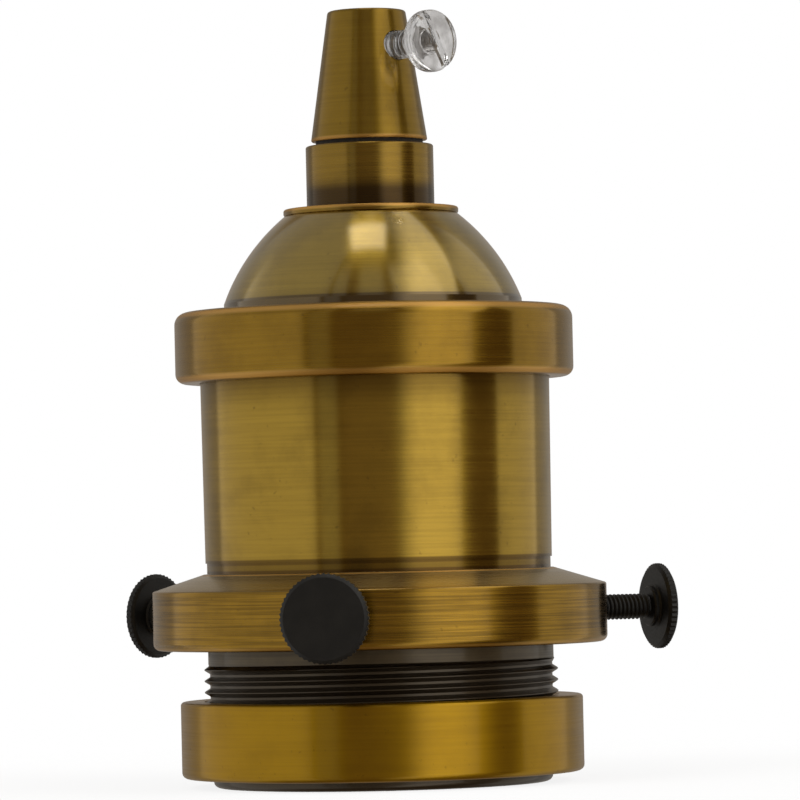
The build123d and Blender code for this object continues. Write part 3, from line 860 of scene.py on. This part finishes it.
def make_floor():
    """Pale floor, almost clear to the camera so that the background stays white, with a faint shadow."""
    made = bmesh.new()
    bmesh.ops.create_circle(made, cap_ends=True, radius=floor_radius, segments=64)
    floor = object_of("floor", made)
    material = bpy.data.materials.new("pale_floor")
    tree = empty_tree(material)
    position = add(tree, "ShaderNodeTexCoord").outputs["Object"]
    tone = mixed(tree, noise(tree, position, 6.0, 3.0), colour(246, 246, 246), colour(242, 242, 242))
    paint = add(tree, "ShaderNodeBsdfDiffuse", {"Color": tone})
    clear = add(tree, "ShaderNodeBsdfTransparent")
    x, y, _ = add(tree, "ShaderNodeSeparateXYZ", {0: position}).outputs
    clearness = spread(tree, length(tree, x, y), shadow_near, shadow_far, shadow_clearness, 1.0)
    path = add(tree, "ShaderNodeLightPath")
    share = sums(tree, "MAXIMUM", sums(tree, "MULTIPLY", path.outputs["Is Camera Ray"], clearness),
                 path.outputs["Is Glossy Ray"])
    both = add(tree, "ShaderNodeMixShader", {0: share, 1: paint.outputs[0], 2: clear.outputs[0]})
    output = add(tree, "ShaderNodeOutputMaterial")
    tree.links.new(both.outputs[0], output.inputs[0])
    floor.data.materials.append(material)


def panel(tree, across, up, sides, heights, edge, fade, level):
    """A soft box of light seen from the object."""
    share = None
    for angle, (low, high), soft in ((across, sides, edge), (up, heights, fade)):
        low, high, soft = math.radians(low), math.radians(high), math.radians(soft)
        part = sums(tree, "MULTIPLY", spread(tree, angle, low - soft, low + soft),
                    spread(tree, angle, high + soft, high - soft))
        share = part if share is None else sums(tree, "MULTIPLY", share, part)
    return sums(tree, "MULTIPLY", share, level)


def strip(tree, direction, left, right, edge, level):
    """A long strip of light between two straight edges, each given by the normal of its plane through the
    object, which points into the light for the left edge and out of it for the right one."""
    share = level
    for normal, soft in ((left, edge[0]), (right, -edge[1])):
        aside = add(tree, "ShaderNodeVectorMath", {0: direction, 1: normal}, operation="DOT_PRODUCT")
        share = sums(tree, "MULTIPLY", share, spread(tree, aside.outputs[1], -soft, soft))
    return share


def make_world():
    """Soft studio light: panels left, right and above, dark gaps between them, white behind the object."""
    world = bpy.data.worlds.new("studio")
    bpy.context.scene.world = world
    tree = empty_tree(world)
    direction = add(tree, "ShaderNodeTexCoord").outputs["Generated"]
    x, y, z = add(tree, "ShaderNodeSeparateXYZ", {0: direction}).outputs
    front = sums(tree, "MULTIPLY", y, -1.0)
    azimuth = sums(tree, "ARCTAN2", x, front)
    elevation = sums(tree, "ARCSINE", z)
    aside = sums(tree, "ARCTAN2", x, z)
    forward = sums(tree, "ARCTAN2", front, z)
    light = strip(tree, direction, strip_left, strip_right, strip_edges, strip_level)
    light = sums(tree, "MULTIPLY", light, spread(tree, elevation, *map(math.radians, strip_foot)))
    light = sums(tree, "ADD", light, base_light)
    for round_panel in round_panels:
        light = sums(tree, "ADD", light, panel(tree, azimuth, elevation, *round_panel))
    light = sums(tree, "ADD", light, panel(tree, aside, forward, *top_panel))
    back = spread(tree, sums(tree, "ABSOLUTE", azimuth), *map(math.radians, back_edges), 0.0, back_level)
    path = add(tree, "ShaderNodeLightPath")
    seen = sums(tree, "MAXIMUM", path.outputs["Is Camera Ray"], path.outputs["Is Transmission Ray"])
    mirrored = sums(tree, "MULTIPLY", path.outputs["Is Glossy Ray"], back)
    white = sums(tree, "MAXIMUM", seen, mirrored)
    bright = spread(tree, light, base_light, 2.5 * base_light)
    tint = mixed(tree, bright, colour(255, 222, 178), colour(255, 253, 248))
    lamps = add(tree, "ShaderNodeBackground", {"Strength": light, "Color": tint})
    backdrop = add(tree, "ShaderNodeBackground", {"Strength": 1.0, "Color": (1, 1, 1, 1)})
    both = add(tree, "ShaderNodeMixShader", {0: white, 1: lamps.outputs[0], 2: backdrop.outputs[0]})
    output = add(tree, "ShaderNodeOutputWorld")
    tree.links.new(both.outputs[0], output.inputs[0])


def make_lamp(name, place, size, power):
    """Area lamp aimed at the object's middle, and not seen in its reflections."""
    lamp = bpy.data.lights.new(name, "AREA")
    lamp.shape = "RECTANGLE"
    lamp.size, lamp.size_y = size
    lamp.energy = power
    holder = in_scene(name, lamp)
    holder.location = place
    aim = Vector((0, 0, aim_height)) - holder.location
    holder.rotation_euler = aim.to_track_quat("-Z", "Y").to_euler()
    holder.visible_glossy = False


def make_camera():
    """Long lens from the front, a little above the rim and turned up to the holder's middle."""
    camera = bpy.data.cameras.new("camera")
    camera.sensor_width = sensor_width
    camera.lens = camera_lens
    camera.clip_start = 0.05
    camera.clip_end = 20.0
    holder = in_scene("camera", camera)
    yaw, pitch, roll = map(math.radians, camera_angles)
    turn = Matrix.Rotation(yaw, 4, "Z") @ Matrix.Rotation(pitch, 4, "X") @ Matrix.Rotation(roll, 4, "Z")
    turn.translation = camera_place
    holder.matrix_world = turn
    bpy.context.scene.camera = holder


make_floor()
make_world()
make_lamp("key_lamp", (-0.9, -0.9, 1.1), (0.8, 0.8), 13.0)
make_lamp("fill_lamp", (1.1, -0.7, 0.9), (0.9, 0.9), 9.0)
make_camera()
bpy.context.scene.view_settings.view_transform = "Standard"
